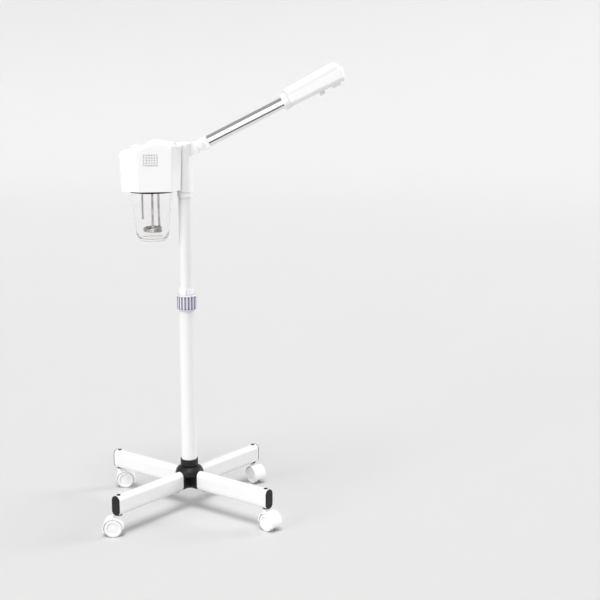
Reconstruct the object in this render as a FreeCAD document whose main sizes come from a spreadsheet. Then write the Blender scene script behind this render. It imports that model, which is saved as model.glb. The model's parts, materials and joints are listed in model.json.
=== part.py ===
import FreeCAD, Part
import math
import os
import re
import Sketcher

# Facial steamer on a wheeled stand. Millimetres, +Z up. The origin is on the floor under the pole's
# axis, +X is the way the steam arm reaches, the control panel faces -X and the sounder grid faces -Y.

DIMENSIONS = {
    # stand
    "leg_bottom": 53, "leg_high": 50, "leg_wide": 25, "leg_wall": 1.5, "leg_root": 36.5,
    "leg_reach": 263, "cap_thick": 3, "hub_low": 56, "core_radius": 17, "collar_radius": 22.5,
    "collar_high": 131, "bell_low": 90, "bell_radius": 36, "bell_high": 112, "spigot_reach": 64,
    "bolt_reach": 48, "bolt_radius": 3, "stem_reach": 254, "sleeve_radius": 8, "plug_radius": 4,
    "stem_radius": 5, "trail": 14, "wheel_radius": 22, "wheel_wide": 13, "web_thick": 7,
    "axle_radius": 3, "fit": 0.06, "slack": 0.25, "gap": 0.35,
    # pole
    "low_pole_radius": 19.5, "low_pole_bore": 18, "low_pole_foot": 109, "low_pole_top": 541,
    "pole_radius": 16, "pole_bore": 14.8, "pole_foot": 298, "pole_top": 893, "nut_radius": 24.2,
    "nut_low": 519, "nut_high": 561, "collet_top": 575, "rest_low": 805, "rest_radius": 18.5,
    # head
    "column_radius": 19.5, "column_low": 818, "column_top": 940, "head_low": 825, "front_top": 917,
    "peak": 944.5, "back_top": 934, "front_x": 154, "cheek_x": 114, "rear_x": 33, "back_x": 11,
    "peak_x": 70, "half_front": 33, "half_wide": 61.5, "half_back": 27, "draft": 2, "wall": 2.5,
    "saddle_x": 24, "hole_pitch": 6.3, "hole_radius": 1.5, "grid_x": 83.2, "grid_z": 902,
    "riser_radius": 5.5, "riser_bore": 4, "riser_z": 927, "panel_x": 114, "panel_long": 58,
    "panel_wide": 70, "panel_thick": 0.8, "button_radius": 8, "button_y": 19,
    # jar and boiler
    "jar_x": 80.5, "jar_low": 699, "jar_rim": 824.6, "jar_radius": 52, "neck_radius": 50.8,
    "glass": 3.4, "seat_radius": 55, "seat_low": 820, "coil_radius": 20.5, "coil_tube": 3.2,
    "coil_z": 722,
    # arm
    "pivot_x": 46, "pivot_z": 935, "arm_angle": 26.6, "tongue_thick": 18, "tongue_radius": 9,
    "cheek_thick": 7, "cheek_radius": 14, "tube_radius": 14, "tube_bore": 13, "tube_start": 14.6,
    "tube_end": 236, "nose_start": 238, "nose_end": 392, "nose_half": 24, "nose_shell": 2,
    "outlet_u": 362, "outlet_radius": 13, "outlet_bore": 10, "outlet_low": 25, "knob_u": 321,
}
NOSE_SCREWS = ("nose_start + 26", "nose_end - 58")
LEG_ANGLES = {"front_left": 225, "front_right": 315, "rear_left": 135, "rear_right": 45}
BEYOND = "4000"
SWIVEL_ANGLES = {"front_left": 175, "front_right": -52, "rear_left": -2, "rear_right": -62}

doc = FreeCAD.newDocument("facial_steamer")
dims = doc.addObject("Spreadsheet::Sheet", "dims")
for line, (alias, number) in enumerate(DIMENSIONS.items(), start=1):
    dims.set(f"A{line}", alias)
    dims.set(f"B{line}", str(number))
    dims.setAlias(f"B{line}", alias)
doc.recompute()
nodes = []


# ---------------------------------------------------------------------------------------------- expressions
def bound(text):
    """The expression with every dimension's name pointed at its cell."""
    return re.sub(r"[a-z_]+", lambda word: f"dims.{word[0]}" if word[0] in DIMENSIONS else word[0], str(text))


def value(text):
    result = dims.evalExpression(bound(text))
    return float(getattr(result, "Value", result))


def locate(piece, x="0", y="0", z="0", axis=(0, 0, 1), turn="0"):
    """Place a piece, with its position and its turn bound to the sheet."""
    piece.Placement = FreeCAD.Placement(FreeCAD.Vector(), FreeCAD.Rotation(FreeCAD.Vector(*axis), 1))
    for path, text in (("Base.x", x), ("Base.y", y), ("Base.z", z), ("Rotation.Angle", turn)):
        piece.setExpression(f"Placement.{path}", bound(text))
    return piece


ON_ARM = {"x": "pivot_x", "z": "pivot_z", "axis": (0, -1, 0), "turn": "arm_angle"}
ON_PANEL = {
    "x": "-panel_x",
    "z": "front_top + (peak - front_top) * (front_x - panel_x) / (front_x - peak_x) + 1.7",
    "axis": (0, -1, 0),
    "turn": "atan((peak - front_top) / (front_x - peak_x))",
}


# ---------------------------------------------------------------------------------------------- bodies
def body(name, **place):
    piece = doc.addObject("PartDesign::Body", name)
    piece.Label = name
    nodes.append(piece)
    return locate(piece, **place)


def sketch(piece, plane="XZ_Plane", offset="0", slant=None):
    """A sketch on one of the body's own planes, moved along its normal or slanted about its vertical."""
    drawing = piece.newObject("Sketcher::SketchObject", f"{piece.Name}_sketch")
    drawing.AttachmentSupport = [(next(item for item in piece.Origin.OriginFeatures if item.Role == plane), "")]
    drawing.MapMode = "FlatFace"
    if slant is not None:
        drawing.AttachmentOffset = FreeCAD.Placement(
            FreeCAD.Vector(), FreeCAD.Rotation(FreeCAD.Vector(0, 1, 0), slant)
        )
    drawing.setExpression("AttachmentOffset.Base.z", bound(offset))
    return drawing


def pin_point(drawing, item, point, x, y):
    """Hold one point of a sketch at bound distances from its origin."""
    for kind, text in (("DistanceX", x), ("DistanceY", y)):
        index = drawing.addConstraint(Sketcher.Constraint(kind, -1, 1, item, point, value(text)))
        drawing.setExpression(f"Constraints[{index}]", bound(text))


def polygon(drawing, points):
    corners = [FreeCAD.Vector(value(x), value(y), 0) for x, y in points]
    first = drawing.GeometryCount
    for start, end in zip(corners, corners[1:] + corners[:1]):
        drawing.addGeometry(Part.LineSegment(start, end), False)
    for index in range(len(corners)):
        following = first + (index + 1) % len(corners)
        drawing.addConstraint(Sketcher.Constraint("Coincident", first + index, 2, following, 1))
    for index, (x, y) in enumerate(points):
        pin_point(drawing, first + index, 1, x, y)
    return drawing


def rectangle(drawing, left, low, right, high):
    return polygon(drawing, [(left, low), (right, low), (right, high), (left, high)])


def circle(drawing, radius, x="0", y="0"):
    shape = Part.Circle(FreeCAD.Vector(value(x), value(y), 0), FreeCAD.Vector(0, 0, 1), value(radius))
    item = drawing.addGeometry(shape, False)
    index = drawing.addConstraint(Sketcher.Constraint("Radius", item, value(radius)))
    drawing.setExpression(f"Constraints[{index}]", bound(radius))
    pin_point(drawing, item, 3, x, y)
    return drawing


def feature(kind, drawing):
    piece = drawing.getParentGeoFeatureGroup()
    made = piece.newObject(f"PartDesign::{kind}", f"{piece.Name}_{kind.lower()}")
    made.Profile = drawing
    return made


def pad(drawing, length, middle=False):
    made = feature("Pad", drawing)
    made.Midplane = middle
    made.setExpression("Length", bound(length))
    return made


def pocket(drawing, length=None):
    """Cut through all, both ways, or to a depth against the sketch's normal. It has to remove something."""
    piece = drawing.getParentGeoFeatureGroup()
    doc.recompute()
    before = piece.Tip.Shape.Volume
    made = feature("Pocket", drawing)
    made.Midplane = length is None
    made.setExpression("Length", bound(length or BEYOND))
    doc.recompute()
    if made.Shape.Volume > before - 0.01:
        raise ValueError(f"{made.Name} cuts nothing")
    return made


def turn(drawing, about="V_Axis"):
    made = feature("Revolution", drawing)
    made.ReferenceAxis = (drawing, [about])
    made.Angle = 360
    return made


def around(piece, made, count, axis="Z_Axis"):
    """Repeat a feature evenly about one of the body's axes."""
    pattern = piece.newObject("PartDesign::PolarPattern", f"{piece.Name}_round")
    pattern.Originals = [made]
    pattern.Axis = (next(item for item in piece.Origin.OriginFeatures if item.Role == axis), [""])
    pattern.Angle = 360
    pattern.Occurrences = count
    piece.Tip = pattern
    return pattern


def soften(piece, radius, chosen):
    """Round the edges that the test picks out."""
    doc.recompute()
    base = piece.Tip
    names = [f"Edge{index}" for index, edge in enumerate(base.Shape.Edges, start=1) if chosen(edge)]
    made = piece.newObject("PartDesign::Fillet", f"{piece.Name}_round_edges")
    made.Base = (base, names)
    made.setExpression("Radius", bound(radius))
    return made


def lean(piece, angle):
    """Draft all upright faces outwards from the piece's flat foot."""
    doc.recompute()
    base = piece.Tip
    foot = base.Shape.BoundBox.ZMin
    made = piece.newObject("PartDesign::Draft", f"{piece.Name}_draft")
    faces = list(enumerate(base.Shape.Faces, start=1))
    made.Base = (base, [f"Face{index}" for index, face in faces if abs(face.normalAt(0, 0).z) < 0.01])
    made.NeutralPlane = (base, [f"Face{index}" for index, face in faces if face.BoundBox.ZMax < foot + 0.01])
    made.Reversed = True
    made.setExpression("Angle", bound(angle))
    return made


def turned(name, outline, about="V_Axis", plane="XZ_Plane", **place):
    piece = body(name, **place)
    turn(polygon(sketch(piece, plane), outline), about)
    return piece


def along_z(edge):
    return abs(edge.tangentAt(edge.FirstParameter).z) > 0.99


def along_y(edge):
    return abs(edge.tangentAt(edge.FirstParameter).y) > 0.99


# -------------------------------------------------------------------------------- grouped fasteners
def screw(name, head_radius, head_high, shank_radius, shank_long, **place):
    """A screw whose head starts at its place and whose shank goes on past it, along its own +Z."""
    piece = body(name, **place)
    nodes.remove(piece)
    turn(
        polygon(
            sketch(piece),
            [
                ("0", f"{head_high} * 0.4"),
                (f"{head_radius} * 0.5", f"{head_high} * 0.4"),
                (f"{head_radius} * 0.5", "0"),
                (head_radius, "0"),
                (head_radius, head_high),
                (shank_radius, head_high),
                (shank_radius, f"{head_high} + {shank_long}"),
                ("0", f"{head_high} + {shank_long}"),
            ],
        )
    )
    return piece


def group(name, pieces):
    """Identical pieces kept together as one node."""
    made = doc.addObject("Part::Compound", name)
    made.Label = name
    made.Links = pieces
    nodes.append(made)
    return made


# ---------------------------------------------------------------------------------------------- stand
def obround(drawing, inset="0", low="leg_bottom"):
    """The upright outline of a leg's tube, drawn on a plane across the leg."""
    radius = f"(leg_wide / 2 - ({inset}))"
    lower = f"{low} + leg_wide / 2"
    upper = f"{low} + leg_high - leg_wide / 2"
    right, left = value(radius), -value(radius)
    bottom, top = value(lower), value(upper)
    up = FreeCAD.Vector(0, 0, 1)
    crown = Part.Circle(FreeCAD.Vector(0, top, 0), up, right)
    foot = Part.Circle(FreeCAD.Vector(0, bottom, 0), up, right)
    first = drawing.GeometryCount
    drawing.addGeometry(Part.ArcOfCircle(crown, 0, math.pi), False)
    drawing.addGeometry(Part.LineSegment(FreeCAD.Vector(left, top, 0), FreeCAD.Vector(left, bottom, 0)), False)
    drawing.addGeometry(Part.ArcOfCircle(foot, math.pi, 2 * math.pi), False)
    drawing.addGeometry(Part.LineSegment(FreeCAD.Vector(right, bottom, 0), FreeCAD.Vector(right, top, 0)), False)
    for index in range(4):
        drawing.addConstraint(Sketcher.Constraint("Coincident", first + index, 2, first + (index + 1) % 4, 1))
    for index, level in ((0, upper), (2, lower)):
        pin_point(drawing, first + index, 3, "0", level)
        pin_point(drawing, first + index, 1, radius if index == 0 else f"-{radius}", level)
    return drawing


def make_hub():
    """The moulded cross that holds the legs and the pole: a core, a bell over the legs' roots and a collar."""
    hub = body("base_hub")
    outline = [
        ("0", "hub_low"),
        ("core_radius", "hub_low"),
        ("core_radius", "bell_low"),
        ("bell_radius", "bell_low"),
        ("bell_radius", "bell_low + 6"),
        ("bell_radius - 2", "bell_low + 13"),
        ("bell_radius - 5.5", "bell_low + 18"),
        ("bell_radius - 10", "bell_high - 1"),
        ("collar_radius - 1", "bell_high"),
        ("collar_radius", "bell_high + 3"),
        ("collar_radius", "collar_high"),
        ("0", "collar_high"),
    ]
    turn(polygon(sketch(hub), outline))
    socket = pad(obround(sketch(hub, "YZ_Plane", slant=45)), "leg_root - 0.1")
    around(hub, socket, len(LEG_ANGLES))
    spigot = pad(obround(sketch(hub, "YZ_Plane", slant=45), "leg_wall + slack"), "spigot_reach")
    around(hub, spigot, len(LEG_ANGLES))
    bore = circle(sketch(hub, "XY_Plane", "collar_high + 1"), "low_pole_radius + fit")
    pocket(bore, "collar_high + 1 - low_pole_foot")
    pocket(circle(sketch(hub, "XY_Plane", "low_pole_foot + 1"), "4.1"), "leg_high + 20")
    counterbore = sketch(hub, "XY_Plane", "hub_low + 8")
    pocket(circle(counterbore, "8"), "20")
    bolt_hole = sketch(hub, "XY_Plane", "leg_bottom + 42")
    for angle in LEG_ANGLES.values():
        circle(bolt_hole, "bolt_radius + fit", f"bolt_reach * cos({angle})", f"bolt_reach * sin({angle})")
    pocket(bolt_hole, "60")
    rim = value("collar_high") - 0.01
    soften(hub, "1", lambda edge: edge.BoundBox.ZLength < 0.01 and edge.BoundBox.ZMin > rim)


def make_leg(corner, angle):
    leg = body(f"leg_{corner}", turn=str(angle))
    outer = obround(sketch(leg, "YZ_Plane", "leg_root"))
    pad(obround(outer, "leg_wall"), "leg_reach - leg_root")
    above = sketch(leg, "XY_Plane", "leg_bottom + leg_high + 1")
    pocket(circle(above, "plug_radius + fit", "stem_reach"), "leg_high / 2")
    below = sketch(leg, "XY_Plane", "leg_bottom + leg_wide / 2")
    circle(below, "sleeve_radius + fit", "stem_reach")
    pocket(circle(below, "bolt_radius + fit", "bolt_reach"), "leg_wide")


def make_end_cap(corner, angle):
    cap = body(f"end_cap_{corner}", turn=str(angle))
    nodes.remove(cap)
    pad(obround(sketch(cap, "YZ_Plane", "leg_reach")), "cap_thick")
    pad(obround(sketch(cap, "YZ_Plane", "leg_reach - 0.6"), "leg_wall + slack"), "0.6")
    soften(cap, "1.4", lambda edge: edge.BoundBox.XMin > value("leg_reach + cap_thick") - 0.01)
    return cap


def make_sleeve(corner, angle):
    """The plastic sleeve through a leg's tip, in which the caster's stem turns. Its plug shows on top."""
    leg_top, crown = "leg_bottom + leg_high", "leg_bottom + leg_high - leg_wall - 1.5"
    outline = [
        ("stem_radius + fit", "leg_bottom + 0.3"),
        ("sleeve_radius", "leg_bottom + 0.3"),
        ("sleeve_radius", f"{crown} - 1.5"),
        ("plug_radius", crown),
        ("plug_radius", leg_top),
        ("plug_radius + 1", leg_top),
        ("plug_radius + 1", f"{leg_top} + 0.8"),
        ("plug_radius", f"{leg_top} + 1.3"),
        ("0", f"{leg_top} + 1.3"),
        ("0", f"{leg_top} - 6"),
        ("stem_radius + fit", f"{leg_top} - 6"),
    ]
    place = {"x": f"stem_reach * cos({angle})", "y": f"stem_reach * sin({angle})"}
    sleeve = turned(f"sleeve_{corner}", outline, **place)
    nodes.remove(sleeve)
    return sleeve


def make_leg_bolt(corner, angle):
    place = {"x": f"bolt_reach * cos({angle})", "y": f"bolt_reach * sin({angle})", "z": "leg_bottom - 2.4"}
    return screw(f"leg_bolt_{corner}", "5", "2.4", "bolt_radius", "36", **place)


def make_stand():
    make_hub()
    for corner, angle in LEG_ANGLES.items():
        make_leg(corner, angle)
    group("leg_end_caps", [make_end_cap(corner, angle) for corner, angle in LEG_ANGLES.items()])
    group("caster_sleeves", [make_sleeve(corner, angle) for corner, angle in LEG_ANGLES.items()])
    group("leg_bolts", [make_leg_bolt(corner, angle) for corner, angle in LEG_ANGLES.items()])
    nodes.append(screw("hub_bolt", "7", "5", "4", "54", z="hub_low + 3"))


# ---------------------------------------------------------------------------------------------- casters
def make_wheel_rooms(hood):
    """Cut away the room for one wheel on each side of the hood's web."""
    room = "wheel_wide + 5"
    for side in (-1, 1):
        start = f"{side} * (web_thick + {room}) / 2 + ({room}) / 2"
        pocket(circle(sketch(hood, "XZ_Plane", start), "wheel_radius + 1.2", "trail", "wheel_radius"), room)


def make_caster(corner):
    """One twin-wheel caster: hood, two steel pins and two wheels. Its own +X trails away from the stem."""
    place = {
        "x": f"stem_reach * cos({LEG_ANGLES[corner]})",
        "y": f"stem_reach * sin({LEG_ANGLES[corner]})",
        "turn": str(SWIVEL_ANGLES[corner]),
    }
    hood = body(f"caster_hood_{corner}", **place)
    across = "web_thick + 2 * wheel_wide + 1"
    pad(circle(sketch(hood), "wheel_radius + 3.5", "trail", "wheel_radius"), across, middle=True)
    make_wheel_rooms(hood)
    below = [
        ("trail - 60", "-20"),
        ("trail + 60", "-20"),
        ("trail + 60", "wheel_radius - 8"),
        ("trail + 9", "wheel_radius - 8"),
        ("trail - 9", "wheel_radius - 4"),
        ("trail - 60", "wheel_radius + 6"),
    ]
    pocket(polygon(sketch(hood), below))
    neck = circle(sketch(hood, "XY_Plane", "wheel_radius + 7"), "web_thick / 2 + 4")
    pad(neck, "leg_bottom - wheel_radius - 9")
    make_wheel_rooms(hood)
    pocket(circle(sketch(hood), "axle_radius", "trail", "wheel_radius"))
    pocket(circle(sketch(hood, "XY_Plane", "leg_bottom"), "stem_radius - 1.5"), "18")
    stem = [
        ("0", "leg_bottom - 18"),
        ("stem_radius - 1.5", "leg_bottom - 18"),
        ("stem_radius - 1.5", "leg_bottom - 2"),
        ("stem_radius", "leg_bottom - 2"),
        ("stem_radius", "leg_bottom + leg_high - 7"),
        ("0", "leg_bottom + leg_high - 7"),
    ]
    pins = [turned(f"stem_{corner}", stem, **place)]
    half = "web_thick / 2 + wheel_wide - 4"
    rod = [(f"-({half})", "0"), (half, "0"), (half, "axle_radius"), (f"-({half})", "axle_radius")]
    at_axle = {
        "x": f"{place['x']} + trail * cos({place['turn']})",
        "y": f"{place['y']} + trail * sin({place['turn']})",
        "z": "wheel_radius",
        "turn": place["turn"],
    }
    pins.append(turned(f"axle_{corner}", rod, "H_Axis", "YZ_Plane", **at_axle))
    for pin in pins:
        nodes.remove(pin)
    group(f"caster_pins_{corner}", pins)
    for side, sign in (("left", 1), ("right", -1)):
        inner, outer = f"{sign} * (web_thick / 2 + 0.4)", f"{sign} * (web_thick / 2 + wheel_wide)"
        wheel = [
            (inner, "axle_radius + fit"),
            (f"{outer} - {sign} * 3.5", "axle_radius + fit"),
            (f"{outer} - {sign} * 3.5", "0"),
            (f"{outer} - {sign} * 1.5", "0"),
            (f"{outer} - {sign} * 2.5", "wheel_radius - 8"),
            (f"{outer}", "wheel_radius - 6"),
            (f"{outer}", "wheel_radius - 2"),
            (f"{outer} - {sign} * 2", "wheel_radius"),
            (f"{inner} + {sign} * 1", "wheel_radius"),
            (inner, "wheel_radius - 1"),
        ]
        turned(f"wheel_{side}_{corner}", wheel, "H_Axis", "YZ_Plane", **at_axle)


# ---------------------------------------------------------------------------------------------- pole
def make_pole():
    lower = [
        ("4", "low_pole_foot"),
        ("low_pole_radius", "low_pole_foot"),
        ("low_pole_radius", "low_pole_top"),
        ("low_pole_bore", "low_pole_top"),
        ("low_pole_bore", "low_pole_foot + 5"),
        ("4", "low_pole_foot + 5"),
    ]
    turned("lower_pole", lower)
    cone_foot, running = "low_pole_top + 8", "pole_radius + fit"
    collet = [
        (running, "low_pole_top - 26"),
        ("low_pole_bore", "low_pole_top - 26"),
        ("low_pole_bore", "low_pole_top"),
        ("low_pole_radius", "low_pole_top"),
        ("low_pole_radius + 0.5", cone_foot),
        ("pole_radius + 2.2", "collet_top"),
        (running, "collet_top"),
    ]
    sleeve = turned("lock_collet", collet)
    slit = sketch(sleeve, "YZ_Plane")
    doc.recompute()
    rectangle(slit, "-0.8", cone_foot, "0.8", "collet_top + 1")
    around(sleeve, pocket(slit), 4)
    inner = "low_pole_radius + gap"
    nut = [
        (inner, "nut_low"),
        ("nut_radius - 4", "nut_low"),
        ("nut_radius - 1", "nut_low + 3"),
        ("nut_radius", "nut_low + 7"),
        ("nut_radius", "nut_high - 4"),
        ("nut_radius - 1.5", "nut_high"),
        ("low_pole_radius + 0.1", "nut_high"),
        ("low_pole_radius + 1", cone_foot),
        (inner, "low_pole_top - 1"),
    ]
    ring = turned("height_lock_nut", nut)
    groove = sketch(ring, "XY_Plane", "nut_high - 4")
    circle(groove, "2.2", "nut_radius - 0.3")
    around(ring, pocket(groove, "nut_high - nut_low - 9"), 18)
    upper = [
        ("pole_bore", "pole_foot"),
        ("pole_radius", "pole_foot"),
        ("pole_radius", "pole_top"),
        ("pole_bore", "pole_top"),
    ]
    turned("upper_pole", upper)
    bush_radius = "low_pole_bore - fit"
    bush = [
        ("pole_bore - 3", "pole_foot - 4"),
        (bush_radius, "pole_foot - 4"),
        (bush_radius, "pole_foot + 25"),
        ("pole_radius", "pole_foot + 25"),
        ("pole_radius", "pole_foot"),
        ("pole_bore - 3", "pole_foot"),
    ]
    turned("guide_bush", bush)
    rest = [
        ("pole_radius", "rest_low"),
        ("rest_radius - 1.5", "rest_low"),
        ("rest_radius", "rest_low + 2"),
        ("rest_radius", "column_low - 0.2"),
        ("pole_radius", "column_low - 0.2"),
    ]
    turned("head_rest_collar", rest)


# ---------------------------------------------------------------------------------------------- head
def make_column():
    """The sleeve that turns on the pole, with the tongue that carries the arm."""
    column = body("pole_socket")
    post = [
        ("0", "column_low"),
        ("column_radius - 1", "column_low"),
        ("column_radius", "column_low + 1"),
        ("column_radius", "column_top - 2.5"),
        ("column_radius - 2.5", "column_top"),
        ("0", "column_top"),
    ]
    turn(polygon(sketch(column), post))
    saddle = rectangle(sketch(column, "XY_Plane", "head_low + 2"), "-saddle_x", "-12", "-6", "12")
    pad(saddle, "100")
    tongue = [
        ("column_radius - 4", "pivot_z - 28"),
        ("column_radius + 12", "pivot_z - 24"),
        ("pivot_x", "pivot_z - tongue_radius"),
        ("pivot_x", "pivot_z + tongue_radius"),
        ("column_radius - 4", "column_top"),
    ]
    pad(polygon(sketch(column), tongue), "tongue_thick", middle=True)
    pad(circle(sketch(column), "tongue_radius", "pivot_x", "pivot_z"), "tongue_thick", middle=True)
    pocket(circle(sketch(column, "XY_Plane", "pole_top + 2"), "pole_radius + fit"), "200")
    pocket(circle(sketch(column, "YZ_Plane"), "riser_radius + 0.6", "0", "riser_z"))
    pocket(circle(sketch(column), "2.5", "pivot_x", "pivot_z"))
    bolts = sketch(column, "YZ_Plane", "-saddle_x + 7")
    for level in ("head_low + 18", "head_low + 86"):
        circle(bolts, "1.5", "0", level)
    pocket(bolts, "20")


def head_plan(drawing, inset="0"):
    """The housing's plan at its foot, cut off at its four corners."""
    front, side, back = f"(front_x - ({inset}))", f"(half_wide - ({inset}))", f"(back_x + {inset})"
    half = [
        (f"-{front}", "half_front"),
        ("-cheek_x", side),
        ("-rear_x", side),
        (f"-{back}", "half_back"),
    ]
    return polygon(drawing, half + [(x, f"-{y}") for x, y in reversed(half)])


def head_block(name, inset):
    """The housing as a solid block, or the room inside it when inset by the wall."""
    block = body(name)
    nodes.remove(block)
    pad(head_plan(sketch(block, "XY_Plane", "head_low"), inset), "150")
    lean(block, "draft")
    roof = [
        ("-300", f"front_top - (300 - front_x) * (peak - front_top) / (front_x - peak_x) - {inset}"),
        ("-peak_x", f"peak - {inset}"),
        ("50", f"back_top - (peak - back_top) * 50 / peak_x - {inset}"),
        ("50", "1200"),
        ("-300", "1200"),
    ]
    pocket(polygon(sketch(block), roof))
    notch = sketch(block, "XY_Plane", "head_low + 300")
    rectangle(notch, f"-saddle_x - 0.2 - {inset}", f"-22 - {inset}", "60", f"22 + {inset}")
    pocket(notch)
    return block


def make_housing():
    outer = head_block("housing_outside", "0")
    corner_x = value("-saddle_x - 4")
    soften(outer, "6", lambda edge: along_z(edge) and edge.CenterOfMass.x < corner_x)
    rim = value("front_top - 20")
    soften(
        outer,
        "5",
        lambda edge: not along_z(edge) and edge.BoundBox.ZMin > rim and edge.BoundBox.XMax < -26,
    )
    grid = sketch(outer, "XZ_Plane", "half_wide + 12")
    for column in range(6):
        for row in range(5):
            x = f"-grid_x + hole_pitch * ({column} - 2.5)"
            circle(grid, "hole_radius", x, f"grid_z + hole_pitch * ({row} - 2)")
    pocket(grid, "24")
    inlet_way = sketch(outer, "XZ_Plane", "-half_wide + 10")
    pocket(rectangle(inlet_way, "-72", "head_low + 14", "-44", "head_low + 34"), "24")
    ways = sketch(outer, "YZ_Plane", "-saddle_x + 6")
    circle(ways, "riser_radius + 0.6", "0", "riser_z")
    for level in ("head_low + 18", "head_low + 86"):
        circle(ways, "1.7", "0", level)
    pocket(ways, "12")
    buttons = body("button_ways", **ON_PANEL)
    nodes.remove(buttons)
    for sign in (-1, 1):
        way = sketch(buttons, "XY_Plane", "-20")
        pad(circle(way, "button_radius + gap", "-6", f"{sign} * button_y"), "40")
    room = head_block("housing_inside", "wall")
    open_shell = doc.addObject("Part::Cut", "housing_open")
    open_shell.Base = outer
    open_shell.Tool = room
    shell = doc.addObject("Part::Cut", "housing_shell")
    shell.Label = "housing_shell"
    shell.Base = open_shell
    shell.Tool = buttons
    nodes.append(shell)


def make_panel():
    """The membrane on the sloping roof, with a hole for each button and each lamp."""
    panel = body("control_panel", **ON_PANEL)
    sheet = sketch(panel, "XY_Plane")
    rectangle(sheet, "-panel_long / 2", "-panel_wide / 2", "panel_long / 2", "panel_wide / 2")
    pad(sheet, "panel_thick")
    soften(panel, "6", along_z)
    holes = sketch(panel, "XY_Plane", "10")
    for side in (-1, 1):
        circle(holes, "button_radius + gap", "-6", f"{side} * button_y")
        circle(holes, "2", "16", f"{side} * button_y")
    pocket(holes)


def make_lamps():
    lamps = []
    for side, sign in (("far", 1), ("near", -1)):
        lamp = body(f"lamp_{side}", **ON_PANEL)
        nodes.remove(lamp)
        pad(circle(sketch(lamp, "XY_Plane"), "1.9", "16", f"{sign} * button_y"), "panel_thick + 1")
        soften(lamp, "0.8", lambda edge: edge.BoundBox.ZMin > 1)
        lamps.append(lamp)
    group("indicator_lamps", lamps)


def make_button(name, sign):
    """A push button in the sloping roof, with the stem that goes down to its switch."""
    button = body(name, **ON_PANEL)
    spot = ("-6", f"{sign} * button_y")
    pad(circle(sketch(button, "XY_Plane", "-wall - 3"), "button_radius", *spot), "wall + panel_thick + 6.5")
    soften(button, "1", lambda edge: edge.BoundBox.ZMin > value("panel_thick + 3.4"))
    pocket(circle(sketch(button, "XY_Plane", "panel_thick + 4"), "button_radius - 2.2", *spot), "1")


def make_tray():
    tray = body("base_tray")
    pad(head_plan(sketch(tray, "XY_Plane", "head_low"), "wall + 0.7"), "wall")
    notch = sketch(tray, "XY_Plane", "head_low + 100")
    rectangle(notch, "-saddle_x - wall - 0.9", "-26", "60", "26")
    pocket(notch)
    pocket(circle(sketch(tray, "XY_Plane", "head_low + 60"), "seat_radius + 0.3", "-jar_x"))


def make_boiler():
    """The black seat that the jar's neck goes up into, with its seal, element, probe and steam pipe."""
    seat = [
        ("riser_radius + 0.1", "jar_rim + 3"),
        ("neck_radius + 0.4", "jar_rim + 3"),
        ("neck_radius + 0.4", "seat_low"),
        ("seat_radius - 0.8", "seat_low"),
        ("seat_radius", "seat_low + 0.8"),
        ("seat_radius", "head_low + wall + 0.2"),
        ("seat_radius + 3", "head_low + wall + 0.2"),
        ("seat_radius + 3", "head_low + wall + 3"),
        ("seat_radius", "head_low + wall + 3"),
        ("seat_radius", "jar_rim + 7"),
        ("riser_radius + 0.1", "jar_rim + 7"),
    ]
    ring = turned("jar_seat", seat, x="-jar_x")
    doc.recompute()
    flat = sketch(ring, "XY_Plane", "jar_rim + 20")
    rectangle(flat, "jar_x - saddle_x - wall - 0.5", "-half_wide", "half_front + half_wide", "half_wide")
    pocket(flat, "jar_rim + 20.2 - head_low")
    seal = [
        ("neck_radius - 5", "jar_rim + 0.2"),
        ("neck_radius", "jar_rim + 0.2"),
        ("neck_radius", "jar_rim + 2.8"),
        ("neck_radius - 5", "jar_rim + 2.8"),
    ]
    turned("jar_seal", seal, x="-jar_x")
    outside = [
        ("30", "jar_low"),
        ("36.5", "jar_low + 5"),
        ("39.5", "jar_low + 14"),
        ("42.5", "jar_low + 36"),
        ("46", "jar_low + 62"),
        ("50.6", "jar_low + 98"),
        ("jar_radius", "jar_low + 112"),
        ("jar_radius", "seat_low - 0.6"),
        ("neck_radius", "seat_low - 0.6"),
        ("neck_radius", "jar_rim"),
    ]
    inside = [
        ("neck_radius - glass", "jar_rim"),
        ("neck_radius - glass", "seat_low - 6"),
        ("50.6 - glass", "jar_low + 98"),
        ("46 - glass", "jar_low + 62"),
        ("42.5 - glass", "jar_low + 36"),
        ("39.5 - glass", "jar_low + 18"),
        ("36.5 - glass", "jar_low + 10"),
        ("30 - glass", "jar_low + 6"),
        ("0", "jar_low + 6"),
        ("0", "jar_low"),
    ]
    turned("glass_jar", outside + inside, x="-jar_x")
    riser = body("steam_riser", x="-jar_x")
    route = sketch(riser)
    bend = 24
    foot, level, far = value("jar_rim + 3.2"), value("riser_z"), value("jar_x + pivot_x - 8")
    centre = FreeCAD.Vector(bend, level - bend, 0)
    quarter = Part.ArcOfCircle(Part.Circle(centre, FreeCAD.Vector(0, 0, 1), bend), math.pi / 2, math.pi)
    route.addGeometry(Part.LineSegment(FreeCAD.Vector(0, foot, 0), FreeCAD.Vector(0, level - bend, 0)), False)
    route.addGeometry(quarter, False)
    route.addGeometry(Part.LineSegment(FreeCAD.Vector(bend, level, 0), FreeCAD.Vector(far, level, 0)), False)
    ring = sketch(riser, "XY_Plane", "jar_rim + 3.2")
    circle(circle(ring, "riser_radius"), "riser_bore")
    doc.recompute()
    pipe = feature("AdditivePipe", ring)
    pipe.Spine = (route, ["Edge1", "Edge2", "Edge3"])


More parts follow.
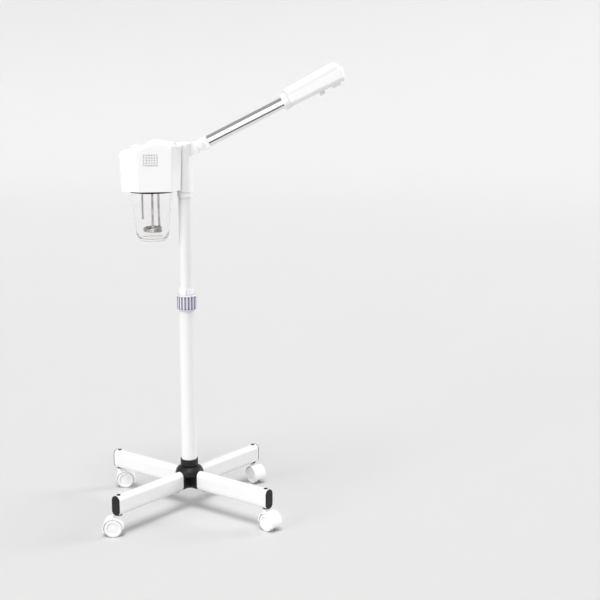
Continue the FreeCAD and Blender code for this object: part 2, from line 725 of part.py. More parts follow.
def make_element():
    """The immersion heater: the coil's two close turns as one ring, and its two legs up into the seat."""
    element = body("heating_element", x="-jar_x")
    inner, outer = "coil_radius - coil_tube", "coil_radius + coil_tube"
    high = "coil_z + 3.6 * coil_tube"
    ring = [
        (inner, "coil_z - coil_tube / 2"),
        ("coil_radius", "coil_z - coil_tube"),
        (outer, "coil_z - coil_tube / 2"),
        (outer, f"{high} - coil_tube / 2"),
        ("coil_radius", high),
        (inner, f"{high} - coil_tube / 2"),
    ]
    turn(polygon(sketch(element), ring))
    for x, y in (("0", "-coil_radius"), ("coil_radius * cos(30)", "coil_radius * sin(30)")):
        leg = circle(sketch(element, "XY_Plane", "coil_z + coil_tube"), "coil_tube - 0.7", x, y)
        pad(leg, "jar_rim + 3 - coil_z - coil_tube")


def make_fittings():
    """What the housing holds: level probe, circuit board, ozone lamp, sounder, mains inlet and screws."""
    probe = [
        ("0", "jar_low + 50"),
        ("2.5", "jar_low + 50"),
        ("2.5", "jar_rim + 2.9"),
        ("0", "jar_rim + 2.9"),
    ]
    turned("water_probe", probe, x="-jar_x - 24", y="18")
    board = body("control_board")
    pad(rectangle(sketch(board, "XY_Plane", "head_low + 30"), "-140", "38", "-100", "39.6"), "56")
    pad(rectangle(sketch(board, "XY_Plane", "head_low + 50"), "-132", "28", "-108", "38.2"), "22")
    lamp = [("0", "0"), ("7", "0"), ("7", "44"), ("4", "50"), ("0", "50")]
    turned("ozone_lamp", lamp, x="-jar_x + 18", y="30", z="jar_rim + 9")
    sounder = [
        ("-half_wide + 2.4", "0"),
        ("-half_wide + 2.4", "13"),
        ("-half_wide + 12", "13"),
        ("-half_wide + 12", "0"),
    ]
    turned("sounder", sounder, "H_Axis", "YZ_Plane", x="-grid_x", z="grid_z")
    inlet = body("mains_inlet")
    flange = sketch(inlet, "XZ_Plane", "-half_wide - 2.8")
    pad(rectangle(flange, "-75", "head_low + 11", "-41", "head_low + 37"), "1.4")
    well = sketch(inlet, "XZ_Plane", "-half_wide - 1.5")
    pad(rectangle(well, "-71.6", "head_low + 14.4", "-44.4", "head_low + 33.6"), "19")
    room = sketch(inlet, "XZ_Plane", "-half_wide + 14")
    pocket(rectangle(room, "-70", "head_low + 16", "-46", "head_low + 32"), "30")
    pins = sketch(inlet, "XZ_Plane", "-half_wide + 14.5")
    for across in ("-65", "-58", "-51"):
        rectangle(pins, f"{across} - 1", "head_low + 21", f"{across} + 1", "head_low + 26")
    made = pad(pins, "11")
    made.Reversed = True
    screws = []
    for index, level in enumerate(("head_low + 18", "head_low + 86")):
        place = {"x": "-saddle_x - wall - 2.4", "z": level, "axis": (0, 1, 0), "turn": "90"}
        screws.append(screw(f"saddle_screw_{index}", "3", "2", "1.5", "8", **place))
    group("housing_screws", screws)


# ---------------------------------------------------------------------------------------------- arm
def make_knuckle():
    """The fork that straddles the tongue and plugs into the chrome tube. Its own +X runs along the arm."""
    knuckle = body("arm_knuckle", **ON_ARM)
    wide = "tongue_thick + 0.6 + 2 * cheek_thick"
    pad(circle(sketch(knuckle), "cheek_radius"), wide, middle=True)
    web = [
        ("0", "-cheek_radius"),
        ("tube_start - 0.2", "-cheek_radius - 1"),
        ("tube_start - 0.2", "cheek_radius + 1"),
        ("0", "cheek_radius"),
    ]
    pad(polygon(sketch(knuckle), web), wide, middle=True)
    soften(knuckle, "2.5", lambda edge: abs(edge.CenterOfMass.y) > 10 and along_y(edge) is False)
    gap = sketch(knuckle, "XY_Plane")
    rectangle(gap, "-30", "-tongue_thick / 2 - 0.3", "tongue_radius + 0.5", "tongue_thick / 2 + 0.3")
    pocket(gap)
    pad(circle(sketch(knuckle, "YZ_Plane", "tube_start - 1"), "tube_bore - 0.05"), "22")
    pocket(circle(sketch(knuckle, "YZ_Plane", "60"), "riser_radius + 0.2"), "60")
    pocket(circle(sketch(knuckle), "4 + fit"))
    screws = []
    for side, sign in (("near", -1), ("far", 1)):
        shoulder = [
            ("0", "0"),
            ("2.4", "0"),
            ("2.4", "2.4"),
            ("4", "2.4"),
            ("4", "tongue_thick / 2 + cheek_thick - 5.8"),
            ("4.8", "tongue_thick / 2 + cheek_thick - 5.8"),
            ("4.8", "tongue_thick / 2 + cheek_thick - 3.8"),
            ("0", "tongue_thick / 2 + cheek_thick - 3.8"),
        ]
        place = {"x": "pivot_x", "y": f"{sign} * 6.65", "z": "pivot_z", "axis": (-sign, 0, 0), "turn": "90"}
        pivot = turned(f"pivot_screw_{side}", shoulder, **place)
        nodes.remove(pivot)
        screws.append(pivot)
    group("pivot_screws", screws)


def make_tube():
    wall = [
        ("tube_start", "tube_bore"),
        ("tube_end", "tube_bore"),
        ("tube_end", "tube_radius"),
        ("tube_start", "tube_radius"),
    ]
    turned("arm_tube", wall, "H_Axis", **ON_ARM)
    hose = [
        ("tongue_radius + 1", "riser_bore"),
        ("tube_end - 2", "riser_bore"),
        ("tube_end - 2", "riser_radius"),
        ("tongue_radius + 1", "riser_radius"),
    ]
    turned("steam_hose", hose, "H_Axis", **ON_ARM)


def nose_block(name, inset):
    """The nozzle as a solid block, or the room inside it when inset by its shell."""
    block = body(name, **ON_ARM)
    nodes.remove(block)
    outline = [
        (f"nose_start + {inset}", f"-17.5 + {inset}"),
        (f"nose_start + {inset}", f"28.5 - {inset}"),
        (f"nose_end - 14 - {inset}", f"33.5 - {inset}"),
        (f"nose_end - {inset}", "10"),
        (f"nose_end - 7 - {inset}", f"-19.5 + {inset}"),
    ]
    pad(polygon(sketch(block), outline), f"2 * (nose_half - {inset})", middle=True)
    soften(block, f"8 - {inset}", lambda edge: along_y(edge) and edge.BoundBox.XMin > value("nose_end - 20"))
    soften(
        block,
        f"13 - {inset}",
        lambda edge: abs(edge.CenterOfMass.y) > 20 and edge.BoundBox.XMax > value("nose_start + 3"),
    )
    return block


def make_shell(name, far):
    """One of the nozzle's two shells: what is left when the other side of the seam is cut away."""
    outer = nose_block(f"{name}_outside", "0")
    left, right = "nose_start - 40", "nose_end + 40"
    pocket(polygon(sketch(outer), [(left, "10"), (right, "16"), (right, far), (left, far)]))
    pocket(circle(sketch(outer, "YZ_Plane", "nose_start + 6"), "tube_radius + 1.4"), "12")
    if far == "90":
        pocket(circle(sketch(outer, "XY_Plane", "-12"), "outlet_radius + 0.1", "outlet_u"), "20")
        pocket(circle(sketch(outer, "XY_Plane", "-12"), "5.2", "knob_u"), "20")
        screw_ways = sketch(outer, "XY_Plane", "-12")
        for along in NOSE_SCREWS:
            for side in (-1, 1):
                circle(screw_ways, "2.9", along, f"{side} * 12")
        pocket(screw_ways, "20")
    shell = doc.addObject("Part::Cut", name)
    shell.Label = name
    shell.Base = outer
    shell.Tool = nose_block(f"{name}_inside", "nose_shell")
    nodes.append(shell)


def make_nozzle():
    collar = [
        ("nose_start - 16", "tube_radius + fit"),
        ("nose_start - 16", "tube_radius + 4.5"),
        ("nose_start - 14", "tube_radius + 6.5"),
        ("nose_start - 0.2", "tube_radius + 6.5"),
        ("nose_start - 0.2", "tube_radius + 1.2"),
        ("nose_start + 8", "tube_radius + 1.2"),
        ("nose_start + 8", "tube_radius + fit"),
    ]
    turned("nozzle_collar", collar, "H_Axis", **ON_ARM)
    make_shell("nozzle_lower_shell", "90")
    make_shell("nozzle_upper_shell", "-90")
    outlet = body("steam_outlet", **ON_ARM)
    pad(circle(sketch(outlet, "XY_Plane", "-outlet_low"), "outlet_radius", "outlet_u"), "outlet_low - 3")
    pipe = sketch(outlet, "YZ_Plane", "tube_end + 4")
    pad(circle(pipe, "7"), "outlet_u - tube_end")
    pocket(circle(sketch(outlet, "XY_Plane", "-outlet_low + 14"), "outlet_bore", "outlet_u"), "20")
    pocket(circle(sketch(outlet, "YZ_Plane", "outlet_u"), "5"), "outlet_u")
    pocket(circle(sketch(outlet, "XY_Plane"), "5", "outlet_u"), "20")
    cap = [
        ("0", "-27.5"),
        ("6.5", "-27.5"),
        ("7.5", "-26.5"),
        ("7.5", "-20.3"),
        ("4.8", "-20.3"),
        ("4.8", "-12"),
        ("0", "-12"),
    ]
    place = {
        "x": "pivot_x + knob_u * cos(arm_angle)",
        "z": "pivot_z + knob_u * sin(arm_angle)",
        "axis": (0, -1, 0),
        "turn": "arm_angle",
    }
    turned("aroma_cap", cap, **place)
    screws = []
    for index, along in enumerate(NOSE_SCREWS):
        for side in (-1, 1):
            place = {
                "x": f"pivot_x + ({along}) * cos(arm_angle) + 17 * sin(arm_angle)",
                "y": f"{side} * 12",
                "z": f"pivot_z + ({along}) * sin(arm_angle) - 17 * cos(arm_angle)",
                "axis": (0, -1, 0),
                "turn": "arm_angle",
            }
            screws.append(screw(f"nose_screw_{index}_{side}", "2.6", "1.6", "1.2", "10", **place))
    group("nozzle_screws", screws)


make_stand()
for corner in LEG_ANGLES:
    make_caster(corner)
make_pole()
make_column()
make_housing()
make_panel()
make_lamps()
make_button("power_button", -1)
make_button("ozone_button", 1)
make_tray()
make_boiler()
make_element()
make_fittings()
make_knuckle()
make_tube()
make_nozzle()
doc.recompute()

for item in doc.Objects:
    if "Invalid" in item.State or "Error" in item.State:
        raise ValueError(f"{item.Name} did not build")
for node in nodes:
    if node.Shape.isNull() or not node.Shape.isValid():
        raise ValueError(f"{node.Label} is not a valid shape")
os.makedirs("parts", exist_ok=True)
for node in nodes:
    node.Shape.exportStep(f"parts/{node.Label}.step")
    print(node.Label, len(node.Shape.Solids), round(node.Shape.Volume))
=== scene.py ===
import json
import math
import bmesh
import bpy
from mathutils import Matrix, Vector


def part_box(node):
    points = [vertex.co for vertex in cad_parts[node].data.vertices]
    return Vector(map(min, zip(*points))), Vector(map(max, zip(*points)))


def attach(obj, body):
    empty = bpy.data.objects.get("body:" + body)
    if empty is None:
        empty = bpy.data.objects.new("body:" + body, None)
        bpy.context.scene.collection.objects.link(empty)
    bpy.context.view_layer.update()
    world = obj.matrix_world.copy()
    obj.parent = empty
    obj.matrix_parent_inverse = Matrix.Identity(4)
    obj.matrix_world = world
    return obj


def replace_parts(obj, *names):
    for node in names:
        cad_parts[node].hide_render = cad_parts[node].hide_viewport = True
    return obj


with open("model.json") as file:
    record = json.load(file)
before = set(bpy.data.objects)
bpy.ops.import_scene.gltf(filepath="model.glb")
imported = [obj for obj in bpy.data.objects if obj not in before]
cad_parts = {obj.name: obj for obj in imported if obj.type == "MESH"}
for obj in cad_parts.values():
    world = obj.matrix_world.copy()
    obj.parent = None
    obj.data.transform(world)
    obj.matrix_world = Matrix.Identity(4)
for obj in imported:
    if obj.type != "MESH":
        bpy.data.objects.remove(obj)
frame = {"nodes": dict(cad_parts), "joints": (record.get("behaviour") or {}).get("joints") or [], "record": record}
nodes, record = frame["nodes"], frame["record"]
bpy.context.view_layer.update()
joints = {joint["name"]: joint for joint in frame["joints"]}
CORNERS = ("front_left", "front_right", "rear_left", "rear_right")
MM = 0.001
# The floor's shade, then the strengths of the sky and of the three far lights.
FLOOR, SKY, KEY, OVERHEAD, RIM = 0.57, 0.44, 1.35, 2.3, 1.3


# ---------------------------------------------------------------------- places from the frame
def joint_place(name):
    """A hinge's pivot and unit axis at rest."""
    joint = joints[name]
    return Vector(joint["pos_m"]), Vector(joint["axis"]).normalized()


def frame_along(origin, axis, side=Vector((0, 1, 0))):
    """A matrix at the origin: Z runs along the axis and Y is as near the side as it can be."""
    z = axis.normalized()
    x = side.cross(z).normalized()
    return Matrix.Translation(origin) @ Matrix((x, z.cross(x), z)).transposed().to_4x4()


def middle(node):
    low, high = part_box(node)
    return (Vector(low) + Vector(high)) / 2


# ---------------------------------------------------------------------- materials
# The Mix node repeats its sockets' names for each data type, so its colour sockets go by number.
MIX_SHARE, MIX_FIRST, MIX_SECOND, MIX_COLOUR = 0, 6, 7, 2


class Finish:
    """A node material on the Principled shader, with helpers that add its surface detail."""

    def __init__(self, name, colour, roughness, **sockets):
        self.material = bpy.data.materials.new(name)
        self.material.use_nodes = True
        self.tree = self.material.node_tree
        self.shader = self.tree.nodes["Principled BSDF"]
        self.shader.inputs["Base Color"].default_value = (*colour, 1)
        self.shader.inputs["Roughness"].default_value = roughness
        for socket, number in sockets.items():
            self.shader.inputs[socket.replace("_", " ")].default_value = number
        self.place = self.tree.nodes.new("ShaderNodeTexCoord").outputs["Object"]

    def link(self, start, end):
        self.tree.links.new(start, end)

    def noise(self, scale, detail=3.0):
        """Noise in the object's own metres."""
        texture = self.tree.nodes.new("ShaderNodeTexNoise")
        texture.inputs["Scale"].default_value = scale
        texture.inputs["Detail"].default_value = detail
        self.link(self.place, texture.inputs["Vector"])
        return texture.outputs["Fac"]

    def between(self, value, low, high, start=0.2, end=0.8):
        """The value's stretch from start to end, spread from low to high."""
        spread = self.tree.nodes.new("ShaderNodeMapRange")
        spread.interpolation_type = "SMOOTHSTEP"
        spread.inputs["From Min"].default_value = start
        spread.inputs["From Max"].default_value = end
        spread.inputs["To Min"].default_value = low
        spread.inputs["To Max"].default_value = high
        self.link(value, spread.inputs["Value"])
        return spread.outputs["Result"]

    def blend(self, share, first, second):
        """Base colour from the first shade to the second as the share goes from 0 to 1."""
        mix = self.tree.nodes.new("ShaderNodeMix")
        mix.data_type = "RGBA"
        mix.inputs[MIX_FIRST].default_value = (*first, 1)
        mix.inputs[MIX_SECOND].default_value = (*second, 1)
        self.link(share, mix.inputs[MIX_SHARE])
        self.link(mix.outputs[MIX_COLOUR], self.shader.inputs["Base Color"])

    def tint(self, value, one, other):
        """Colour that wanders between two close shades."""
        self.blend(self.between(value, 0.0, 1.0), one, other)

    def painted_groove_shade(self, deep, open_shade, reach):
        """Painted shade: the open colour in the open and the deep colour painted into grooves narrower than the
        reach in metres, by ambient occlusion.
        """
        shade = self.tree.nodes.new("ShaderNodeAmbientOcclusion")
        shade.inputs["Distance"].default_value = reach
        openness = self.between(shade.outputs["AO"], 0.0, 1.0, start=0.45, end=0.95)
        self.blend(openness, deep, open_shade)

    def rough(self, value, low, high):
        self.link(self.between(value, low, high), self.shader.inputs["Roughness"])

    def bump(self, value, depth, strength=0.5):
        """Relief of a real depth in metres."""
        relief = self.tree.nodes.new("ShaderNodeBump")
        relief.inputs["Strength"].default_value = strength
        relief.inputs["Distance"].default_value = depth
        self.link(value, relief.inputs["Height"])
        self.link(relief.outputs["Normal"], self.shader.inputs["Normal"])


def white_plastic():
    finish = Finish("white_plastic", (0.87, 0.87, 0.87), 0.32, IOR=1.49)
    finish.tint(finish.noise(9), (0.88, 0.88, 0.88), (0.868, 0.868, 0.871))
    finish.rough(finish.noise(1400, 2), 0.27, 0.37)
    finish.bump(finish.noise(2200, 2), 0.00003, 0.25)
    return finish.material


def lavender_plastic():
    finish = Finish("lavender_plastic", (0.82, 0.82, 0.86), 0.3, IOR=1.49)
    finish.tint(finish.noise(12), (0.825, 0.825, 0.87), (0.81, 0.81, 0.85))
    finish.rough(finish.noise(1400, 2), 0.26, 0.34)
    finish.bump(finish.noise(2200, 2), 0.00003, 0.25)
    return finish.material


def white_steel():
    finish = Finish("white_steel", (0.87, 0.87, 0.87), 0.25, Coat_Weight=0.3, Coat_Roughness=0.1)
    finish.tint(finish.noise(7), (0.80, 0.80, 0.80), (0.79, 0.79, 0.793))
    finish.rough(finish.noise(900, 2), 0.22, 0.30)
    finish.bump(finish.noise(180, 2), 0.00001, 0.1)
    return finish.material


def black_plastic():
    finish = Finish("black_plastic", (0.007, 0.007, 0.008), 0.38, IOR=1.36)
    finish.tint(finish.noise(30), (0.006, 0.006, 0.007), (0.012, 0.012, 0.013))
    finish.rough(finish.noise(220, 5), 0.3, 0.5)
    finish.bump(finish.noise(1500, 3), 0.00008, 0.4)
    return finish.material


def grey_plastic():
    """The lock nut's grey-violet plastic, with painted shade darkening its grooves."""
    finish = Finish("grey_plastic", (0.70, 0.69, 0.80), 0.36, IOR=1.5)
    # Painted shade: near-black navy painted into the grooves within a 5 mm reach, grey-violet in the open.
    finish.painted_groove_shade((0.02, 0.018, 0.05), (0.66, 0.65, 0.75), 0.005)
    finish.rough(finish.noise(150, 4), 0.34, 0.48)
    finish.bump(finish.noise(1400, 3), 0.00006, 0.35)
    return finish.material


def chrome():
    finish = Finish("chrome_tube", (0.86, 0.86, 0.87), 0.05, Metallic=1.0)
    finish.rough(finish.noise(700, 3), 0.035, 0.06)
    finish.bump(finish.noise(300, 2), 0.000003, 0.15)
    return finish.material


def plated_steel():
    finish = Finish("zinc_steel", (0.55, 0.56, 0.58), 0.3, Metallic=1.0)
    finish.tint(finish.noise(120, 5), (0.50, 0.51, 0.54), (0.62, 0.62, 0.62))
    finish.rough(finish.noise(300, 5), 0.22, 0.42)
    finish.bump(finish.noise(1200, 3), 0.00002, 0.3)
    return finish.material


def dark_steel():
    """The element's stainless sheath, straw to brown where it gets hot."""
    finish = Finish("dark_steel", (0.42, 0.40, 0.40), 0.22, Metallic=1.0)
    finish.tint(finish.noise(45, 4), (0.40, 0.38, 0.38), (0.72, 0.70, 0.69))
    finish.rough(finish.noise(260, 4), 0.14, 0.32)
    finish.bump(finish.noise(900, 3), 0.00002, 0.3)
    return finish.material


def clear_glass():
    finish = Finish("clear_glass", (0.998, 0.990, 0.992), 0.015, Transmission_Weight=1.0, IOR=1.22)
    finish.rough(finish.noise(35, 3), 0.008, 0.03)
    finish.bump(finish.noise(24, 2), 0.0003, 0.1)
    return finish.material


def rubber():
    finish = Finish("seal_rubber", (0.72, 0.72, 0.71), 0.55)
    finish.tint(finish.noise(60, 4), (0.72, 0.72, 0.71), (0.66, 0.66, 0.65))
    finish.bump(finish.noise(1100, 3), 0.00008, 0.4)
    return finish.material


def nylon():
    finish = Finish("wheel_nylon", (0.86, 0.86, 0.86), 0.34, IOR=1.53)
    finish.tint(finish.noise(40, 4), (0.85, 0.85, 0.85), (0.82, 0.82, 0.825))
    finish.rough(finish.noise(180, 5), 0.28, 0.45)
    finish.bump(finish.noise(1300, 3), 0.00006, 0.35)
    return finish.material


def panel_film():
    finish = Finish("panel_film", (0.86, 0.86, 0.87), 0.3, Coat_Weight=0.4, Coat_Roughness=0.1)
    finish.tint(finish.noise(20), (0.87, 0.87, 0.88), (0.85, 0.85, 0.86))
    finish.rough(finish.noise(900, 3), 0.24, 0.32)
    finish.bump(finish.noise(2200, 2), 0.00003, 0.3)
    return finish.material


def lamp_lens():
    finish = Finish("lamp_lens", (0.82, 0.82, 0.85), 0.15, Transmission_Weight=0.3, IOR=1.5)
    finish.tint(finish.noise(400, 3), (0.84, 0.84, 0.87), (0.78, 0.78, 0.81))
    finish.bump(finish.noise(2500, 2), 0.00003, 0.3)
    return finish.material


def circuit_board():
    finish = Finish("board_green", (0.03, 0.22, 0.09), 0.35)
    finish.tint(finish.noise(350, 2), (0.02, 0.18, 0.07), (0.05, 0.28, 0.12))
    finish.bump(finish.noise(600, 3), 0.0001, 0.4)
    return finish.material


FINISHES = {
    "white_plastic": white_plastic(),
    "lavender_plastic": lavender_plastic(),
    "white_steel": white_steel(),
    "black_plastic": black_plastic(),
    "grey_plastic": grey_plastic(),
    "chrome_tube": chrome(),
    "zinc_steel": plated_steel(),
    "dark_steel": dark_steel(),
    "clear_glass": clear_glass(),
    "seal_rubber": rubber(),
    "wheel_nylon": nylon(),
    "panel_film": panel_film(),
    "lamp_lens": lamp_lens(),
    "board_green": circuit_board(),
}


def paint(thing, slot):
    thing.data.materials.clear()
    thing.data.materials.append(FINISHES[slot])


for part in record["subparts"]:
    paint(nodes[part["node"]], part["material_slot"])


# ---------------------------------------------------------------------- pieces built here
def new_piece(name, data, slot, body):
    piece = bpy.data.objects.new(name, data)
    bpy.context.scene.collection.objects.link(piece)
    paint(piece, slot)
    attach(piece, body)
    return piece


def lathe_mesh(name, outline, place, steps, closed=False):
    """Turn an outline of (radius, height) points about the place's Z."""
    made = bmesh.new()
    rings = []
    for radius, height in outline:
        count = 1 if radius < 1e-7 else steps
        turns = [math.tau * step / count for step in range(count)]
        points = [(radius * math.cos(turn), radius * math.sin(turn), height) for turn in turns]
        rings.append([made.verts.new(place @ Vector(point)) for point in points])
    pairs = list(zip(rings, rings[1:]))
    if closed:
        pairs.append((rings[-1], rings[0]))
    for lower, upper in pairs:
        for step in range(steps):
            after = (step + 1) % steps
            corners = [lower[step % len(lower)], lower[after % len(lower)]]
            corners += [upper[after % len(upper)], upper[step % len(upper)]]
            unique = list(dict.fromkeys(corners))
            if len(unique) > 2:
                made.faces.new(unique)
    bmesh.ops.recalc_face_normals(made, faces=made.faces)
    mesh = bpy.data.meshes.new(name)
    made.to_mesh(mesh)
    made.free()
    for face in mesh.polygons:
        face.use_smooth = True
    return mesh


def lathe(name, outline, place, slot, body, steps=96, closed=False):
    return new_piece(name, lathe_mesh(name, outline, place, steps, closed), slot, body)


def smooth_line(points, rounds=3):
    """Corner-cutting on an open line of points: each round halves every corner's sharpness."""
    for _ in range(rounds):
        cut = [points[0]]
        for start, end in zip(points, points[1:]):
            a, b = Vector(start), Vector(end)
            cut += [tuple(a.lerp(b, 0.25)), tuple(a.lerp(b, 0.75))]
        points = cut + [points[-1]]
    return points


def smooth_outline(points, rounds=2):
    return [(x, y) for x, y, _ in smooth_line([(x, y, 0) for x, y in points], rounds)]


def tube(name, points, radius, slot, body):
    """A round tube along a smooth line, with its ends closed by flat caps."""
    curve = bpy.data.curves.new(name, "CURVE")
    curve.dimensions = "3D"
    curve.bevel_depth = radius
    curve.bevel_resolution = 10
    curve.use_fill_caps = True
    line = curve.splines.new("POLY")
    line.points.add(len(points) - 1)
    for point, place in zip(line.points, points):
        point.co = (*place, 1)
    line.use_smooth = True
    return new_piece(name, curve, slot, body)


# ---------------------------------------------------------------------- pole and arm
def sharp_by_angle(piece, angle=35):
    """Keep round stretches smooth and real corners crisp."""
    mesh = piece.data
    made = bmesh.new()
    made.from_mesh(mesh)
    for edge in made.edges:
        if len(edge.link_faces) == 2 and edge.calc_face_angle(0) > math.radians(angle):
            edge.smooth = False
    made.to_mesh(mesh)
    made.free()


def round_node(node, place, slot, body, wall, ends=0.0004):
    """A drawn tube in place of a CAD tube, with its two rims just broken, on the place's Z."""
    points = [place.inverted() @ vertex.co for vertex in nodes[node].data.vertices]
    low, high = min(point.z for point in points), max(point.z for point in points)
    outer = max(math.hypot(point.x, point.y) for point in points)
    inner = outer - wall
    outline = [
        (inner, low), (inner, high), (inner + ends, high), (outer - ends, high),
        (outer, high - ends), (outer, low + ends), (outer - ends, low), (inner + ends, low),
    ]
    piece = lathe(f"{node}_drawn", outline, place, slot, body, steps=128, closed=True)
    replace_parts(piece, node)
    sharp_by_angle(piece)
    return piece


UPRIGHT = Matrix.Identity(4)
ARM = frame_along(joint_place("arm_tilt")[0], joint_place("nozzle_turn")[1])
round_node("arm_tube", ARM, "chrome_tube", "arm", 1 * MM)
round_node("lower_pole", UPRIGHT, "white_steel", "stand", 1.5 * MM)
round_node("upper_pole", UPRIGHT, "white_steel", "mast", 1.2 * MM)


# ---------------------------------------------------------------------- jar and coil
def make_jar():
    """The jar: heights in millimetres from its foot, radii as shares of its widest one."""
    low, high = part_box("glass_jar")
    centre = middle("glass_jar")
    place = Matrix.Translation((centre.x, centre.y, low[2]))
    tall = high[2] - low[2]
    wide = (high[0] - low[0]) / 2
    seat_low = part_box("jar_seat")[0][2] - low[2]
    neck = wide - 1.2 * MM
    foot = [(0.0, 1.6), (0.36, 1.4), (0.50, 0.2), (0.58, 0.0)]
    foot += [(0.66, 1.6), (0.71, 6), (0.75, 13)]
    flank = [(0.785, 25), (0.83, 42), (0.885, 64), (0.94, 88), (0.985, 106)]
    outside = [(share * wide, height * MM) for share, height in foot + flank] + [
        (wide - 0.2 * MM, 114 * MM),
        (wide - 0.2 * MM, seat_low - 2 * MM),
        (neck + 0.4 * MM, seat_low - 1 * MM),
        (neck, seat_low),
        (neck, tall - 1.5 * MM),
        (neck - 0.8 * MM, tall - 0.1 * MM),
    ]
    glass = 3.0 * MM
    bowl = [(0.785, 27), (0.74, 16), (0.66, 9), (0.50, 6.4)]
    inside = [
        (neck - glass, tall - 0.4 * MM),
        (neck - glass - 0.4 * MM, tall - 3 * MM),
        (neck - glass, seat_low - 4 * MM),
    ]
    inside += [(share * wide - glass, height * MM) for share, height in flank[:0:-1] + bowl]
    inside += [(0.2 * wide, 5.8 * MM), (0.0, 5.8 * MM)]
    outline = smooth_outline(outside) + smooth_outline(inside)
    piece = lathe("glass_jar_blown", outline, place, "clear_glass", "jar", steps=128)
    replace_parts(piece, "glass_jar")


def make_coil():
    """The immersion heater: a tube comes down, winds just over two turns and goes back up."""
    low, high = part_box("heating_element")
    centre = middle("heating_element")
    radius = 2.9 * MM
    ring = (high[0] - low[0]) / 2 - radius
    foot, top = low[2] + radius + 0.2 * MM, high[2] - 0.3 * MM
    turns, steps = 2.25, 40
    rise, closeness = 2.5 * radius, 0.6
    start = -math.pi / 2
    x, y = centre.x + ring * math.cos(start), centre.y + ring * math.sin(start)
    points = [(x, y, top), (x, y, foot + 6 * radius)]
    for step in range(int(turns * steps) + 1):
        angle = start + math.tau * step / steps
        lift = foot + rise * (1 - step / (turns * steps)) * turns * closeness
        x, y = centre.x + ring * math.cos(angle), centre.y + ring * math.sin(angle)
        points.append((x, y, lift))
    lean = 0.75
    x, y = centre.x + (x - centre.x) * lean, centre.y + (y - centre.y) * lean
    points += [(x, y, foot + 5 * radius), (x, y, top)]
    piece = tube("heating_coil", smooth_line(points, 3), radius, "dark_steel", "head")
    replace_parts(piece, "heating_element")


make_jar()
make_coil()


# ---------------------------------------------------------------------- control panel
def seat_on_roof(node, slot):
    """A panel piece whose foot reaches down to the sloping roof, in place of the CAD one."""
    out = -Vector(joints["power_button_press"]["axis"]).normalized()
    roof = max(vertex.co @ out for vertex in nodes["housing_shell"].data.vertices)
    mesh = nodes[node].data.copy()
    foot = min(vertex.co @ out for vertex in mesh.vertices)
    for vertex in mesh.vertices:
        if vertex.co @ out < foot + 0.1 * MM:
            vertex.co -= (foot - roof) * out
    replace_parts(new_piece(f"{node}_seated", mesh, slot, "head"), node)


seat_on_roof("control_panel", "panel_film")
seat_on_roof("indicator_lamps", "lamp_lens")


# ---------------------------------------------------------------------- the CAD nodes' edges
def soft_edges(node, width, angle=32):
    """A moulded or tumbled edge on a CAD node."""
    bevel = nodes[node].modifiers.new("edges", "BEVEL")
    bevel.width = width
    bevel.segments = 3
    bevel.limit_method = "ANGLE"
    bevel.angle_limit = math.radians(angle)
    bevel.harden_normals = False
    bevel.use_clamp_overlap = True


for corner in CORNERS:
    soft_edges(f"leg_{corner}", 0.5 * MM)
    soft_edges(f"caster_hood_{corner}", 0.5 * MM)
    soft_edges(f"wheel_left_{corner}", 0.6 * MM)
    soft_edges(f"wheel_right_{corner}", 0.6 * MM)
EDGES = {
    0.8: ("base_hub", "pole_socket"),
    0.6: ("arm_knuckle", "nozzle_collar", "steam_outlet"),
    0.5: ("aroma_cap",),
    0.4: ("leg_end_caps", "base_tray", "jar_seat", "head_rest_collar", "mains_inlet"),
    0.3: ("lock_collet", "height_lock_nut", "power_button", "ozone_button"),
    0.25: ("nozzle_lower_shell", "nozzle_upper_shell"),
}
for width, names in EDGES.items():
    for node in names:
        soft_edges(node, width * MM)


# ---------------------------------------------------------------------- set, lights, camera
def make_stage():
    """A plain pale floor that rises into a round wall well behind every camera."""
    finish = Finish("pale_floor", (FLOOR, FLOOR, FLOOR), 0.9)
    dim = FLOOR - 0.004
    finish.tint(finish.noise(1.5), (FLOOR, FLOOR, FLOOR), (dim, dim, dim))
    flat, wall, high = 7.0, 11.0, 7.0
    bend = wall - flat
    turns = [step * math.pi / 24 for step in range(1, 13)]
    outline = [(0.0, 0.0), (1.5, 0.0), (3.0, 0.0), (flat, 0.0)]
    outline += [
        (flat + bend * math.sin(turn), bend * (1 - math.cos(turn))) for turn in turns
    ]
    outline.append((wall, high))
    floor = bpy.data.objects.new("floor", lathe_mesh("floor", outline, UPRIGHT, 96))
    floor.data.materials.append(finish.material)
    bpy.context.scene.collection.objects.link(floor)
    floor.visible_shadow = False


def far_light(name, towards, power, softness):
    """A soft light so far off that it lights the whole floor alike. Towards is the way to it."""
    light = bpy.data.lights.new(name, "SUN")
    light.energy = power
    light.angle = math.radians(softness)
    lamp = bpy.data.objects.new(name, light)
    bpy.context.scene.collection.objects.link(lamp)
    lamp.rotation_euler = Vector(towards).to_track_quat("Z", "Y").to_euler()


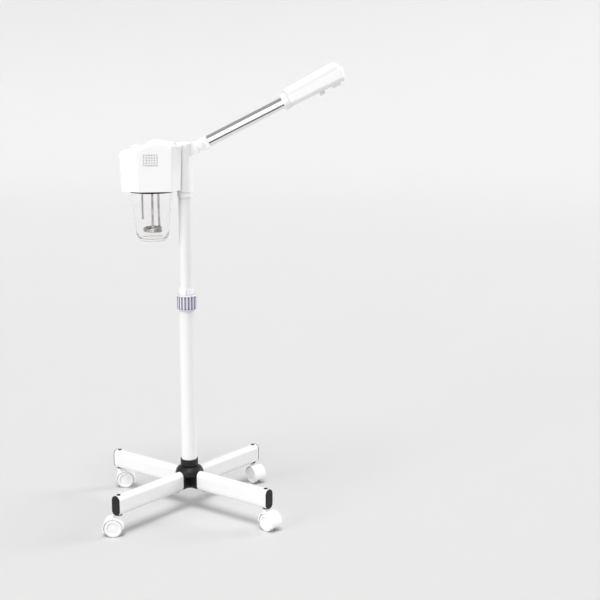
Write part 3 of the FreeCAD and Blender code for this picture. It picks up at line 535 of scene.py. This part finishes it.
def card(name, place, target, wide, tall, shade, glow):
    """A card that only reflections see: it draws a dark band or a highlight along the chrome."""
    x, y = wide / 2, tall / 2
    mesh = bpy.data.meshes.new(name)
    mesh.from_pydata([(-x, -y, 0), (x, -y, 0), (x, y, 0), (-x, y, 0)], [], [(0, 1, 2, 3)])
    mesh.materials.append(Finish(name, (shade, shade, shade), 0.9, Emission_Strength=glow).material)
    thing = bpy.data.objects.new(name, mesh)
    bpy.context.scene.collection.objects.link(thing)
    thing.location = place
    thing.rotation_euler = (Vector(target) - Vector(place)).to_track_quat("-Z", "X").to_euler()
    for ray in ("camera", "diffuse", "transmission", "shadow", "volume_scatter"):
        setattr(thing, f"visible_{ray}", False)


def make_lights():
    world = bpy.data.worlds.new("studio")
    bpy.context.scene.world = world
    world.use_nodes = True
    sky = world.node_tree.nodes["Background"].inputs
    sky["Color"].default_value = (1.0, 1.0, 1.0, 1)
    sky["Strength"].default_value = SKY
    far_light("key", (-0.80, -0.58, 0.30), KEY, 30)
    far_light("overhead", (-0.05, -0.30, 0.95), OVERHEAD, 28)
    far_light("rim", (0.975, 0.22, 0.35), RIM, 25)
    arm = middle("arm_tube")
    above, front = -ARM.col[0].to_3d(), Vector((0, -1, 0))
    # name, degrees about the arm from the front, distance, width, shade, glow
    cards = (
        ("card_dark_over", 97, 1.2, 1.05, 0.45, 0.0),
        ("card_light", 24, 1.6, 1.9, 0.8, 0.75),
        ("card_dark_under", -38, 0.9, 0.32, 0.06, 0.0),
    )
    for name, turn, far, wide, shade, glow in cards:
        way = math.cos(math.radians(turn)) * front + math.sin(math.radians(turn)) * above
        card(name, arm + far * way, arm, wide, 2.0, shade, glow)


def make_camera():
    """At the photographed angle: 3.2 m off, a little above the head, looking slightly down."""
    camera = bpy.data.cameras.new("camera")
    camera.lens = 77.94
    camera.sensor_width = 36
    camera.clip_start, camera.clip_end = 0.05, 60
    thing = bpy.data.objects.new("camera", camera)
    bpy.context.scene.collection.objects.link(thing)
    thing.location = (-0.120, -3.210, 1.186)
    pitch, yaw = math.radians(11.32), math.radians(7.23)
    thing.rotation_euler = (math.pi / 2 - pitch, 0, -yaw)
    bpy.context.scene.camera = thing


make_stage()
make_lights()
make_camera()
bpy.context.scene.view_settings.view_transform = "Standard"
